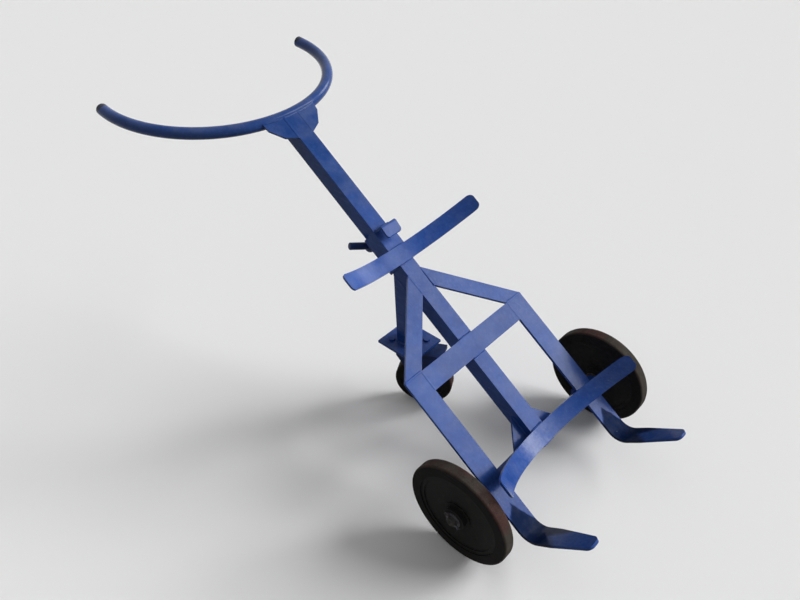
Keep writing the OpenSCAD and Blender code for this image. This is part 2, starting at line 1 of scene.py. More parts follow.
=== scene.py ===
"""Drum trolley parked on its two main wheels and rear caster.

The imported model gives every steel, iron and rubber piece. This script adds the weld
beads, gives each finish its material, and sets the floor, the sun, the sky and the camera.
World places are in metres. Inside the leaning frame they are x, m up the mast and n square
to the mast's front face, in millimetres, counted from the axle line on that face.
"""
import json
import math
import bpy
import numpy as np
from mathutils import Euler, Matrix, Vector


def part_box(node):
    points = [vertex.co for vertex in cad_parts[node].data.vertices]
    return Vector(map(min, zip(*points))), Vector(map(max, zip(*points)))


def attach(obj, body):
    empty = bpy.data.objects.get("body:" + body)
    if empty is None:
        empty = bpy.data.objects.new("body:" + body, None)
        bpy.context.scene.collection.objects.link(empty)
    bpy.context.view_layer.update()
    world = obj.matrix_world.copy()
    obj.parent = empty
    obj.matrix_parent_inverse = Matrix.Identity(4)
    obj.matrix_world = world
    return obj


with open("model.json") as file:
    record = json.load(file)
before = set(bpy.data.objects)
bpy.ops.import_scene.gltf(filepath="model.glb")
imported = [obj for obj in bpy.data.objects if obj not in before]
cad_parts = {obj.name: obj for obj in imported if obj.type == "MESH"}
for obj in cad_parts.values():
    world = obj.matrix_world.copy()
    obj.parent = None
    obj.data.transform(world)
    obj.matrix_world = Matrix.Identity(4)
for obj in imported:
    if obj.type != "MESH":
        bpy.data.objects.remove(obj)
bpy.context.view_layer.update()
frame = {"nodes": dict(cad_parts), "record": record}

MM = 0.001

# The leaning frame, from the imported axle
MAST_LEAN = math.radians(36)
AXLE_DEPTH = 34
MAST_HALF = 25
ACROSS = np.array([1.0, 0.0, 0.0])
UP_MAST = np.array([0.0, math.cos(MAST_LEAN), math.sin(MAST_LEAN)])
OFF_FACE = np.array([0.0, -math.sin(MAST_LEAN), math.cos(MAST_LEAN)])
PIPE_END = 0.004


def middle(node):
    """Centre of a node's box."""
    low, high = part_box(node)
    return np.array((low + high) / 2)


AXLE_AT = middle("axle") * [0, 1, 1]
FOOT = AXLE_AT + AXLE_DEPTH * MM * OFF_FACE


def handle_tips():
    """Centres of the handle's two open ends: on each side, the vertices highest up the mast."""
    pipe = frame["nodes"]["handle_bar"]
    spots = np.array([pipe.matrix_world @ v.co for v in pipe.data.vertices])
    up = (spots - FOOT) @ UP_MAST
    tips = []
    for sign in (-1, 1):
        side = spots[:, 0] * sign > 0
        end = spots[side & (up > up[side].max() - PIPE_END)]
        tips.append(tuple(float(v) for v in (end.min(axis=0) + end.max(axis=0)) / 2))
    return tips


def leaning(points):
    """World places of rows of x, m and n: the foot plus each size along its own direction."""
    p = np.asarray(points, float) * MM
    return FOOT + p[..., :1] * ACROSS + p[..., 1:2] * UP_MAST + p[..., 2:] * OFF_FACE


def at_strut(points):
    """World places of rows of x, y and z in millimetres, counted from the strut's foot."""
    low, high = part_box("caster_strut")
    foot = np.array([0, low[1] + MAST_HALF * MM, low[2]])
    return foot + np.asarray(points, float) * MM


# Mesh building

def build_piece(name, tubes, body, material):
    """One smooth mesh from closed tubes: rings joined by quads, each end a fan to its pole."""
    verts, faces, start = [], [], 0
    for rings, poles in tubes:
        rows, cols = rings.shape[:2]
        here = np.arange(rows * cols).reshape(rows, cols) + start
        right = np.roll(here, -1, axis=1)
        quads = np.stack([here[:-1], right[:-1], right[1:], here[1:]], axis=-1).reshape(-1, 4)
        tail = start + rows * cols
        first = np.stack([right[0], here[0], np.full(cols, tail)], axis=-1)
        last = np.stack([here[-1], right[-1], np.full(cols, tail + 1)], axis=-1)
        tube_faces = quads.tolist() + first.tolist() + last.tolist()
        if volume_sign(rings) < 0:
            tube_faces = [face[::-1] for face in tube_faces]
        faces += tube_faces
        verts += [rings.reshape(-1, 3), poles]
        start = tail + len(poles)
    mesh = bpy.data.meshes.new(name)
    mesh.from_pydata(np.vstack(verts), [], faces)
    mesh.polygons.foreach_set("use_smooth", np.ones(len(mesh.polygons), bool))
    mesh.materials.append(material)
    piece = bpy.data.objects.new(name, mesh)
    bpy.context.scene.collection.objects.link(piece)
    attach(piece, body)


def volume_sign(rings):
    """Sign of the quads' outward volume: the sum of centre times across times along."""
    across = np.roll(rings, -1, axis=1)[:-1] - rings[:-1]
    along = rings[1:] - rings[:-1]
    off = rings[:-1] - rings.mean(axis=(0, 1))
    return np.sign(np.einsum("ijk,ijk->", off, np.cross(across, along)))


# Weld beads, in millimetres and in shares of their radius

BEAD_STEP, BEAD_SIDES, BEAD_ROWS = 0.8, 10, 6
BEAD_SIZE = 0.95
RIPPLE_PITCH, RIPPLE_SIZE, RIPPLE_CREST = 2.6, 0.09, 0.3
WANDERS = ((0.10, 9.7), (0.06, 4.1))
FADE_START, FADE_REACH, POLE_OUT = 0.25, 1.2, 0.2
RING_POINTS = 40
bead_random = np.random.default_rng(7)


def bead(corners, facing, radius, flat=1.0, rough=1.0, placed=leaning):
    """Weld bead along a path of corners.

    The path is resampled at even steps, and each ring is a circle pressed by flat along
    facing. A ring's radius is the bead's radius times the sum of BEAD_SIZE and, times rough,
    a ripple that rises and drops with the pitch and a slow wander of two sines. A quarter
    ellipse brings it down to the poles at both ends.
    """
    corners = np.asarray(corners, float)
    legs = np.linalg.norm(np.diff(corners, axis=0), axis=1)
    reach = np.concatenate([[0], np.cumsum(legs)])
    s = np.linspace(0, reach[-1], max(int(reach[-1] / BEAD_STEP), BEAD_ROWS))
    line = np.stack([np.interp(s, reach, corners[:, i]) for i in range(3)], axis=1)
    along = np.gradient(line, axis=0)
    along /= np.linalg.norm(along, axis=1)[:, None]
    side = np.cross(along, np.asarray(facing, float))
    side /= np.linalg.norm(side, axis=1)[:, None]
    up = np.cross(side, along)
    phase = bead_random.uniform(0, 6.28, 3)
    ripple = RIPPLE_SIZE * (1 - np.abs(((s / RIPPLE_PITCH) % 1) - RIPPLE_CREST))
    wander = sum(size * np.sin(s / pitch + p) for (size, pitch), p in zip(WANDERS, phase))
    close = np.minimum(s, reach[-1] - s) + FADE_START
    fade = np.sqrt(1 - (1 - np.clip(close / (FADE_REACH * radius), 0, 1)) ** 2)
    size = radius * (BEAD_SIZE + rough * (ripple + wander)) * fade
    turn = np.linspace(0, 2 * np.pi, BEAD_SIDES, endpoint=False)[None, :, None]
    rings = line[:, None] + size[:, None, None] * (
        np.cos(turn) * side[:, None] + flat * np.sin(turn) * up[:, None])
    poles = np.array([line[0] - POLE_OUT * along[0], line[-1] + POLE_OUT * along[-1]])
    return placed(rings), placed(poles)


def up_bead(x, low, high, depth, facing, radius, **form):
    """Straight bead up the mast at one x and depth, between two heights."""
    return bead([(x, low, depth), (x, high, depth)], facing, radius, **form)


def cross_bead(first, last, height, depth, facing, radius, **form):
    """Straight bead across the mast at one height and depth, between two values of x."""
    return bead([(first, height, depth), (last, height, depth)], facing, radius, **form)


def both_sides(make):
    """The beads that make gives for the left side, sign -1, and for the right side, sign 1."""
    return make(-1) + make(1)


def arc(centre, across, up, radius, start, end, count):
    """Points on an arc: centre plus the radius times cosine across and sine up, in degrees."""
    a = np.radians(np.linspace(start, end, count))[:, None]
    way = np.cos(a) * np.asarray(across, float) + np.sin(a) * np.asarray(up, float)
    return np.asarray(centre, float) + radius * way


# Node helpers

def feed(tree, made, sockets):
    """A node's inputs linked to sockets, or set to values."""
    for key, value in sockets.items():
        if isinstance(value, bpy.types.NodeSocket):
            tree.links.new(value, made.inputs[key])
        else:
            made.inputs[key].default_value = value


def node(tree, kind, sockets=None, **settings):
    """A shader node with its settings and inputs."""
    made = tree.nodes.new(kind)
    for key, value in settings.items():
        setattr(made, key, value)
    feed(tree, made, sockets or {})
    return made


def maths(tree, operation, a, b=0.0, clamp=False):
    """Result of one Math node."""
    made = node(tree, "ShaderNodeMath", {0: a, 1: b}, operation=operation, use_clamp=clamp)
    return made.outputs[0]


def plus(tree, a, b):
    """Sum of two values."""
    return maths(tree, "ADD", a, b)


def minus(tree, a, b):
    """Difference of two values."""
    return maths(tree, "SUBTRACT", a, b)


def times(tree, a, b):
    """Product of two values."""
    return maths(tree, "MULTIPLY", a, b)


def larger(tree, a, b):
    """The larger of two values."""
    return maths(tree, "MAXIMUM", a, b)


def vector(tree, operation, a, b=(0, 0, 0), output="Vector"):
    """Result of one Vector Math node, as a vector or as a value."""
    made = node(tree, "ShaderNodeVectorMath", {0: a, 1: b}, operation=operation)
    return made.outputs[output]


def ramp(tree, value, low, high, to_low=0.0, to_high=1.0):
    """A value mapped smoothly from low..high to to_low..to_high."""
    ends = {"From Min": low, "From Max": high, "To Min": to_low, "To Max": to_high}
    return node(tree, "ShaderNodeMapRange", {"Value": value, **ends},
                interpolation_type="SMOOTHSTEP").outputs[0]


def noise(tree, place, scale, detail=3.0, rough=0.55, warp=0.0):
    """Noise value at a place."""
    form = {"Scale": scale, "Detail": detail, "Roughness": rough, "Distortion": warp}
    return node(tree, "ShaderNodeTexNoise", {"Vector": place, **form}).outputs[0]


def mapped(tree, place, turn, scale):
    """A place turned and scaled."""
    return node(tree, "ShaderNodeMapping",
                {"Vector": place, "Rotation": turn, "Scale": scale}).outputs[0]


def blend(tree, factor, a, b):
    """Two colours mixed by a factor."""
    return node(tree, "ShaderNodeMix", {0: factor, 6: a, 7: b}, data_type="RGBA").outputs[2]


def covered(tree, value, cover, high, reach, soft):
    """Mask of a value over a threshold that drops from high by reach as cover gets to 1."""
    low = minus(tree, high, times(tree, cover, reach))
    return ramp(tree, value, low, plus(tree, low, soft))


def place_of(tree):
    """Object coordinates, which are the world's at rest."""
    return node(tree, "ShaderNodeTexCoord").outputs["Object"]


def seen_rays(tree):
    """Mask of camera rays, and mask of camera, glossy and transmission rays."""
    path = node(tree, "ShaderNodeLightPath").outputs
    mirrored = larger(tree, path["Is Glossy Ray"], path["Is Transmission Ray"])
    return path["Is Camera Ray"], larger(tree, path["Is Camera Ray"], mirrored)


def rgb(r, g, b):
    """Linear colour of an sRGB colour given as 0 to 255."""
    def linear(c):
        c /= 255
        return c / 12.92 if c <= 0.04045 else ((c + 0.055) / 1.055) ** 2.4
    return (linear(r), linear(g), linear(b), 1.0)


def new_group(name, inputs, outputs):
    """A shader group: its tree, its inputs' values and its output node."""
    tree = bpy.data.node_groups.new(name, "ShaderNodeTree")
    for socket, default in inputs:
        made = tree.interface.new_socket(name=socket, in_out="INPUT",
                                         socket_type="NodeSocketFloat")
        made.default_value = default
    for socket in outputs:
        tree.interface.new_socket(name=socket, in_out="OUTPUT", socket_type="NodeSocketFloat")
    given, out = tree.nodes.new("NodeGroupInput"), tree.nodes.new("NodeGroupOutput")
    return tree, given.outputs, out


def use(tree, group, **values):
    """A group placed in a material with its own values."""
    sockets = {key.replace("_", " "): value for key, value in values.items()}
    return node(tree, "ShaderNodeGroup", sockets, node_tree=group).outputs


# Shared effects

def edge_wear_group():
    """Mask of rubbed edges: how far the bevelled normal leans off the true one, under noise."""
    inputs = [("reach", 0.0015), ("break up", 60.0), ("cover", 0.5)]
    tree, given, out = new_group("edge wear", inputs, ["mask"])
    bevel = node(tree, "ShaderNodeBevel", {"Radius": given["reach"]}, samples=6).outputs[0]
    true = node(tree, "ShaderNodeNewGeometry").outputs["Normal"]
    match = vector(tree, "DOT_PRODUCT", bevel, true, "Value")
    edge = ramp(tree, minus(tree, 1.0, match), 0.01, 0.14)
    patch = noise(tree, place_of(tree), given["break up"], 4.0, 0.6)
    keep = covered(tree, patch, given["cover"], high=0.78, reach=0.5, soft=0.08)
    feed(tree, out, {"mask": times(tree, edge, keep)})
    return tree


def scratches_group():
    """Mask of fine scratches: two noises stretched along different slants, cut to crests."""
    tree, given, out = new_group("scratches", [("scale", 1.0), ("cover", 0.5)], ["mask"])
    place = place_of(tree)
    masks = []
    for turn, long, thin in (((0.7, 0.2, 0.4), 9.0, 420.0), ((-0.5, 0.9, -0.8), 14.0, 560.0)):
        line = mapped(tree, place, turn, (thin, long, thin))
        value = noise(tree, line, given["scale"], 1.0, 0.4)
        masks.append(covered(tree, value, given["cover"], high=0.80, reach=0.16, soft=0.03))
    patchy = ramp(tree, noise(tree, place, 7.0, 2.0), 0.42, 0.62)
    feed(tree, out, {"mask": times(tree, larger(tree, *masks), patchy)})
    return tree


def dust_group():
    """Mask of settled dust: upward faces of the piece, times cloudy noise."""
    tree, given, out = new_group("dust", [("scale", 18.0), ("cover", 0.5)], ["mask"])
    coord = node(tree, "ShaderNodeTexCoord").outputs
    up = node(tree, "ShaderNodeSeparateXYZ", {0: coord["Normal"]}).outputs["Z"]
    cloud = ramp(tree, noise(tree, coord["Object"], given["scale"], 5.0, 0.6), 0.35, 0.75)
    amount = times(tree, times(tree, ramp(tree, up, 0.15, 0.95), cloud), given["cover"])
    feed(tree, out, {"mask": amount})
    return tree


def chips_group():
    """Masks of chips and their rims: ragged cells, kept only where coarse noise is high."""
    tree, given, out = new_group("chips", [("scale", 90.0), ("cover", 0.5)], ["mask", "rim"])
    place = place_of(tree)
    ragged = node(tree, "ShaderNodeTexNoise",
                  {"Vector": place, "Scale": 240.0, "Detail": 3.0}).outputs["Color"]
    bent = node(tree, "ShaderNodeMix", {0: 0.012, 4: place, 5: ragged},
                data_type="VECTOR").outputs[1]
    cell = node(tree, "ShaderNodeTexVoronoi",
                {"Vector": bent, "Scale": given["scale"]}).outputs["Distance"]
    where = noise(tree, place, 23.0, 4.0, 0.65)
    keep = covered(tree, where, given["cover"], high=0.76, reach=0.2, soft=0.05)
    feed(tree, out, {"mask": times(tree, ramp(tree, cell, 0.30, 0.24), keep),
                     "rim": times(tree, ramp(tree, cell, 0.40, 0.31), keep)})
    return tree


EDGE_WEAR = edge_wear_group()
SCRATCHES = scratches_group()
DUST = dust_group()
CHIPS = chips_group()


# Finishes

# Colours of the enamel, of what shows through it or lies on it, and of shade and highlight painted
# on it
COAT_LOW, COAT_HIGH = rgb(31, 64, 132), rgb(45, 80, 153)
BRUSH_MARK, MOTTLE = rgb(66, 100, 170), rgb(28, 52, 112)
# Painted shade: the next two colours darken the enamel high on the mast and in the legs' bends
PAINTED_SHADE_HIGH, BEND_PAINTED_SHADE = rgb(14, 46, 88), rgb(8, 22, 48)
# The last colour on the next line is a pale patch, partly rubbed paint and partly a painted
# highlight
DARK_TIP, RUBBED_EDGE, RUB_AND_HIGHLIGHT = rgb(24, 26, 34), rgb(30, 34, 50), rgb(150, 160, 196)
ENAMEL_SCRATCH, CHIP_RIM, CHIP_CORE = rgb(120, 140, 190), rgb(104, 124, 178), rgb(48, 42, 42)
DUST_PALE, GRIME_DARK = rgb(150, 154, 166), rgb(32, 34, 42)
STEEL_LOW, STEEL_HIGH = rgb(40, 39, 38), rgb(74, 72, 69)

# Colours of the other finishes
ZINC_LOW, ZINC_HIGH = rgb(52, 55, 66), rgb(88, 88, 92)
ZINC_RUST, ZINC_BARE = rgb(72, 48, 46), rgb(140, 136, 130)
IRON_LOW, IRON_HIGH = rgb(26, 26, 26), rgb(42, 41, 40)
IRON_SMEAR, IRON_WORN = rgb(60, 56, 52), rgb(84, 80, 78)
RUBBER_LOW, RUBBER_HIGH, RUBBER_SCRATCH = rgb(24, 23, 23), rgb(42, 40, 39), rgb(86, 76, 72)
TREAD_GREY, TREAD_RED = rgb(60, 57, 52), rgb(70, 46, 43)
TREAD_DARK, TREAD_GRIT = rgb(42, 36, 35), rgb(86, 79, 72)

# Radii in metres of the edges that shading rounds, on plates and on thin weld beads
SOFT_EDGE, SHARP_EDGE = 0.0009, 0.00005

# The legs' bends, where shade is painted, in the leaning frame's millimetres: a tongue's slopes
# on the two sides of a leg's middle line, and where its two tips and the tilt below it fade in
BEND_MIDDLE, BEND_WAVE = 212, 22.0
TONGUE_SLOPES = 2.2, -1.05
TONGUE_TOP, TONGUE_TOE, BELOW_BEND = (-56, -70), (74, 40), (-5, -50)

# The handle's darker tips, in metres from the middle of each open end
TIP_PLAIN, TIP_DARKEST, TIP_RAGGED = 0.0225, 0.0185, 0.003


def finish_of(name):
    """A new material: its tree, its Principled shader and the object coordinates."""
    material = bpy.data.materials.new(name)
    material.use_nodes = True
    tree = material.node_tree
    return material, tree, tree.nodes["Principled BSDF"], place_of(tree)


def bumped(tree, height, strength, distance, lean=None, edge=SOFT_EDGE):
    """Normal of a height over edges rounded by the radius edge, tipped by lean if any."""
    normal = node(tree, "ShaderNodeBevel", {"Radius": edge}, samples=4).outputs[0]
    if lean is not None:
        normal = vector(tree, "NORMALIZE", vector(tree, "ADD", normal, lean))
    return node(tree, "ShaderNodeBump", {"Strength": strength, "Distance": distance,
                                         "Height": height, "Normal": normal}).outputs[0]


def along_frame(tree, place, way):
    """Distance in millimetres from the leaning frame's foot along one of its directions."""
    along = vector(tree, "DOT_PRODUCT", place, tuple(way), "Value")
    return minus(tree, times(tree, along, 1 / MM), float(np.dot(FOOT, way)) / MM)


def bend_masks(tree, place):
    """Masks of the legs' bends: a tongue from the leg to the toe, and all below the bend.

    The tongue lies below its top, in height up the mast plus the slope's share of the
    distance from the leg's middle line, and short of its toe, in distance off the face less
    that share. Noise waves both edges.
    """
    up = along_frame(tree, place, UP_MAST)
    out = along_frame(tree, place, OFF_FACE)
    x = along_frame(tree, place, ACROSS)
    off = minus(tree, x, times(tree, maths(tree, "SIGN", x), BEND_MIDDLE))
    aside = larger(tree, *[times(tree, off, slope) for slope in TONGUE_SLOPES])
    wave = times(tree, minus(tree, noise(tree, place, 30.0, 3.0), 0.5), BEND_WAVE)
    top = plus(tree, plus(tree, up, aside), wave)
    toe = plus(tree, minus(tree, out, aside), wave)
    tongue = times(tree, ramp(tree, top, *TONGUE_TOP), ramp(tree, toe, *TONGUE_TOE))
    return tongue, ramp(tree, up, *BELOW_BEND)


def blue_enamel(name="blue enamel", rub_and_highlight_at=None, bent=False, ends_from=None, grime=0.0,
                shade_span=None, tips=(), shine=0.1, worn=0.7):
    """Brushed gloss enamel: cloudy blue, brush marks, rubbed edges, chips, scratches and dust.

    rub_and_highlight_at is the middle of a pale patch, partly rubbed paint and partly a painted
    highlight, bent paints shade into the legs' bends and tips their normals, past ends_from, in
    millimetres from the middle, dull steel shows, and grime is dark dirt's cover.
    The coat is painted darker, as shade, between the two heights of shade_span, in millimetres up
    the mast, and gets darker around tips. worn is the cover of the dark rubbed edges; without it
    the edges stay sharp, as thin weld beads need.
    """
    material, tree, shader, place = finish_of(name)
    cloud = noise(tree, place, 6.0, 4.0, 0.6, 0.4)
    fine = noise(tree, place, 75.0, 3.0, 0.6)
    brushed = mapped(tree, place, (-MAST_LEAN, 0, 0), (150, 12, 150))
    stroke = noise(tree, brushed, 1.0, 3.0, 0.6)
    colour = blend(tree, ramp(tree, cloud, 0.3, 0.72), COAT_LOW, COAT_HIGH)
    colour = blend(tree, ramp(tree, stroke, 0.45, 0.75, 0.0, 0.3), colour, BRUSH_MARK)
    colour = blend(tree, ramp(tree, fine, 0.45, 0.72, 0.0, 0.25), colour, MOTTLE)
    rough = ramp(tree, cloud, 0.3, 0.7, 0.13, 0.21)
    lean = None
    if bent:
        tongue, below = bend_masks(tree, place)
        # The tongue's dark colour is painted shade, a dark reflection painted into the bends; the
        # tilt only turns the normal
        colour = blend(tree, times(tree, tongue, 0.85), colour, BEND_PAINTED_SHADE)
        tilt = plus(tree, times(tree, tongue, 0.24), times(tree, below, 0.15))
        lean = node(tree, "ShaderNodeVectorMath", {0: tuple(UP_MAST), "Scale": tilt},
                    operation="SCALE").outputs[0]
    if shade_span:
        # Painted shade: the enamel gets darker higher up the mast, on the gussets, handle and welds
        # as on the mast
        up = along_frame(tree, place, UP_MAST)
        colour = blend(tree, ramp(tree, up, *shade_span, 0.0, 0.4), colour, PAINTED_SHADE_HIGH)
    for tip in tips:
        # Darker colour around each of the handle's open ends
        off = vector(tree, "DISTANCE", place, tip, "Value")
        off = plus(tree, off, times(tree, fine, TIP_RAGGED))
        changed = ramp(tree, off, TIP_PLAIN, TIP_DARKEST, 0.0, 0.85)
        colour = blend(tree, changed, colour, DARK_TIP)
    if ends_from is not None:
        across = maths(tree, "ABSOLUTE", along_frame(tree, place, ACROSS))
        changed = ramp(tree, across, ends_from, ends_from + 2)
        steel = blend(tree, ramp(tree, fine, 0.35, 0.65), STEEL_LOW, STEEL_HIGH)
        colour = blend(tree, changed, colour, steel)
        rough = plus(tree, rough, times(tree, changed, 0.3))
    wear = use(tree, EDGE_WEAR, reach=0.0014, break_up=55.0, cover=0.34)["mask"]
    scratch = use(tree, SCRATCHES, scale=1.0, cover=0.45)["mask"]
    chip = use(tree, CHIPS, scale=85.0, cover=0.38)
    dust = use(tree, DUST, scale=14.0, cover=0.14)["mask"]
    colour = blend(tree, times(tree, scratch, 0.25), colour, ENAMEL_SCRATCH)
    colour = blend(tree, times(tree, wear, worn), colour, RUBBED_EDGE)
    colour = blend(tree, times(tree, chip["rim"], 0.8), colour, CHIP_RIM)
    colour = blend(tree, chip["mask"], colour, CHIP_CORE)
    colour = blend(tree, dust, colour, DUST_PALE)
    if grime:
        dirt = noise(tree, place, 40.0, 5.0, 0.65)
        dirt = ramp(tree, dirt, 0.25, 0.7, grime * 0.5, grime)
        colour = blend(tree, dirt, colour, GRIME_DARK)
        rough = plus(tree, rough, times(tree, dirt, 0.4))
    # Pale patch on the lower saddle: partly rubbed, rougher paint and partly a painted highlight
    if rub_and_highlight_at is not None:
        near = ramp(tree, vector(tree, "DISTANCE", place, rub_and_highlight_at, "Value"), 0.10, 0.02)
        rub_and_highlight = times(tree, near, ramp(tree, noise(tree, place, 60.0, 5.0, 0.62, 0.3), 0.36, 0.7))
        colour = blend(tree, times(tree, rub_and_highlight, 0.35), colour, RUB_AND_HIGHLIGHT)
        rough = plus(tree, rough, times(tree, rub_and_highlight, 0.15))
    matt = times(tree, larger(tree, dust, chip["rim"]), 0.4)
    height = plus(tree, times(tree, stroke, 0.5), times(tree, noise(tree, place, 420.0, 2.0), 0.12))
    height = minus(tree, height, times(tree, chip["mask"], 0.7))
    height = minus(tree, height, times(tree, scratch, 0.2))
    edge = SOFT_EDGE if worn else SHARP_EDGE
    feed(tree, shader, {"Base Color": colour, "Specular IOR Level": shine,
                        "Roughness": maths(tree, "ADD", rough, matt, clamp=True),
                        "Normal": bumped(tree, height, 0.3, 0.0005, lean, edge)})
    return material


def dull_zinc(name="dull zinc"):
    """Old dirty plated steel: dark grey clouds, purple brown rust and worn edges."""
    material, tree, shader, place = finish_of(name)
    cloud = noise(tree, place, 26.0, 5.0, 0.62)
    rust = ramp(tree, noise(tree, place, 34.0, 6.0, 0.7, 0.6), 0.46, 0.62)
    scratch = use(tree, SCRATCHES, scale=1.6, cover=0.7)["mask"]
    wear = use(tree, EDGE_WEAR, reach=0.0012, break_up=120.0, cover=0.6)["mask"]
    colour = blend(tree, ramp(tree, cloud, 0.3, 0.7), ZINC_LOW, ZINC_HIGH)
    colour = blend(tree, times(tree, rust, 0.8), colour, ZINC_RUST)
    colour = blend(tree, times(tree, larger(tree, scratch, wear), 0.5), colour, ZINC_BARE)
    height = plus(tree, noise(tree, place, 300.0, 4.0), rust)
    feed(tree, shader, {"Base Color": colour, "Specular IOR Level": 0.2,
                        "Metallic": maths(tree, "SUBTRACT", 0.7, rust, clamp=True),
                        "Roughness": ramp(tree, cloud, 0.3, 0.7, 0.4, 0.62),
                        "Normal": bumped(tree, height, 0.3, 0.0003)})
    return material


def black_iron(name="black iron"):
    """Black painted casting: fine grain, greyer smears and worn rims."""
    material, tree, shader, place = finish_of(name)
    cloud = noise(tree, place, 22.0, 6.0, 0.65, 0.8)
    smear = ramp(tree, noise(tree, place, 60.0, 5.0, 0.7), 0.5, 0.7)
    wear = use(tree, EDGE_WEAR, reach=0.0018, break_up=80.0, cover=0.5)["mask"]
    colour = blend(tree, ramp(tree, cloud, 0.32, 0.68), IRON_LOW, IRON_HIGH)
    colour = blend(tree, times(tree, smear, 0.35), colour, IRON_SMEAR)
    colour = blend(tree, times(tree, wear, 0.7), colour, IRON_WORN)
    height = plus(tree, noise(tree, place, 260.0, 5.0, 0.65), times(tree, smear, 0.4))
    feed(tree, shader, {"Base Color": colour, "Specular IOR Level": 0.06,
                        "Roughness": ramp(tree, cloud, 0.3, 0.7, 0.45, 0.65),
                        "Normal": bumped(tree, height, 0.3, 0.0005)})
    return material


def dusty_rubber(name, centre, axis, tread_from, tread_full):
    """Black rubber whose tread is worn to a dusty red brown, by distance from the wheel's axis.

    Faint turned rings on the sides are a sine of that distance.
    """
    material, tree, shader, place = finish_of(name)
    off = vector(tree, "SUBTRACT", place, centre)
    radius = vector(tree, "LENGTH", vector(tree, "CROSS_PRODUCT", off, axis), output="Value")
    ragged = plus(tree, radius, times(tree, noise(tree, place, 70.0, 4.0), 0.004))
    tread = ramp(tree, ragged, tread_from, tread_full)
    turned = maths(tree, "SINE", times(tree, radius, 1400.0))
    cloud = noise(tree, place, 30.0, 6.0, 0.66, 0.5)
    grit = noise(tree, place, 420.0, 4.0, 0.7)
    reddish = ramp(tree, noise(tree, place, 9.0, 3.0, 0.6), 0.48, 0.66)
    scratch = use(tree, SCRATCHES, scale=1.3, cover=0.8)["mask"]
    side = blend(tree, ramp(tree, cloud, 0.3, 0.7), RUBBER_LOW, RUBBER_HIGH)
    worn = blend(tree, reddish, TREAD_GREY, TREAD_RED)
    worn = blend(tree, ramp(tree, cloud, 0.3, 0.7, 0.0, 0.6), worn, TREAD_DARK)
    worn = blend(tree, ramp(tree, grit, 0.45, 0.75, 0.0, 0.5), worn, TREAD_GRIT)
    colour = blend(tree, tread, side, worn)
    colour = blend(tree, times(tree, scratch, 0.35), colour, RUBBER_SCRATCH)
    height = plus(tree, times(tree, grit, 0.5), times(tree, cloud, 0.5))
    height = minus(tree, plus(tree, height, times(tree, turned, 0.15)), scratch)
    feed(tree, shader, {"Base Color": colour, "Specular IOR Level": 0.05,
                        "Roughness": ramp(tree, cloud, 0.3, 0.7, 0.62, 0.85),
                        "Normal": bumped(tree, height, 0.5, 0.0006)})
    return material


CASTER_WHEEL_AT = middle("caster_tyre")
CASTER_AXIS = np.cross([0, 0, 1], (CASTER_WHEEL_AT - middle("swivel_race")) * [1, 1, 0])
CASTER_AXIS /= np.linalg.norm(CASTER_AXIS)

# Where finishes change: the saddle's pale patch, partly rubbed and partly a painted highlight, the
# axle's bare ends and the painted shade high on the mast, in the leaning frame's millimetres, and
# the tyres' radii in metres
RUB_AND_HIGHLIGHT_AT = tuple(leaning([[-45, 0, 9]])[0])
AXLE_BARE_FROM = 283
SHADE_HEIGHTS = (640, 900)
TREAD_RADII, CASTER_TREAD_RADII = (0.1445, 0.1485), (0.0845, 0.0875)

ENAMEL = blue_enamel()
RUB_AND_HIGHLIGHT_ENAMEL = blue_enamel("rubbed and highlighted blue enamel", rub_and_highlight_at=RUB_AND_HIGHLIGHT_AT)
BENT_ENAMEL = blue_enamel("bent blue enamel", bent=True)
AXLE_ENAMEL = blue_enamel("axle enamel", ends_from=AXLE_BARE_FROM)
GRIMY_ENAMEL = blue_enamel("grimy blue enamel", grime=0.75)
WELD_ENAMEL = blue_enamel("weld enamel", shade_span=SHADE_HEIGHTS, worn=0.0)
CLAMP_WELD_ENAMEL = blue_enamel("clamp weld enamel", worn=0.0)
MAST_ENAMEL = blue_enamel("mast enamel", shade_span=SHADE_HEIGHTS)
HANDLE_ENAMEL = blue_enamel("handle enamel", shade_span=SHADE_HEIGHTS, tips=handle_tips(), shine=0.16)
ZINC = dull_zinc()
IRON = black_iron()
TYRE = dusty_rubber("dusty rubber", tuple(AXLE_AT), tuple(ACROSS), *TREAD_RADII)
CASTER_TYRE = dusty_rubber("caster rubber", tuple(CASTER_WHEEL_AT), tuple(CASTER_AXIS),
                           *CASTER_TREAD_RADII)

BY_SLOT = {"blue_enamel": ENAMEL, "dull_zinc": ZINC, "black_iron": IRON, "dusty_rubber": TYRE}
BY_NODE = {"lower_saddle": RUB_AND_HIGHLIGHT_ENAMEL, "left_leg": BENT_ENAMEL, "right_leg": BENT_ENAMEL,
           "axle": AXLE_ENAMEL, "handle_bar": HANDLE_ENAMEL, "mast": MAST_ENAMEL,
           "left_handle_gusset": MAST_ENAMEL, "right_handle_gusset": MAST_ENAMEL,
           "caster_top_plate": GRIMY_ENAMEL, "swivel_race": GRIMY_ENAMEL,
           "caster_fork": GRIMY_ENAMEL, "tommy_bar": GRIMY_ENAMEL,
           "clamp_screw": GRIMY_ENAMEL, "caster_tyre": CASTER_TYRE}
for part in frame["record"]["subparts"]:
    materials = frame["nodes"][part["node"]].data.materials
    materials.clear()
    materials.append(BY_NODE.get(part["node"], BY_SLOT[part["material_slot"]]))


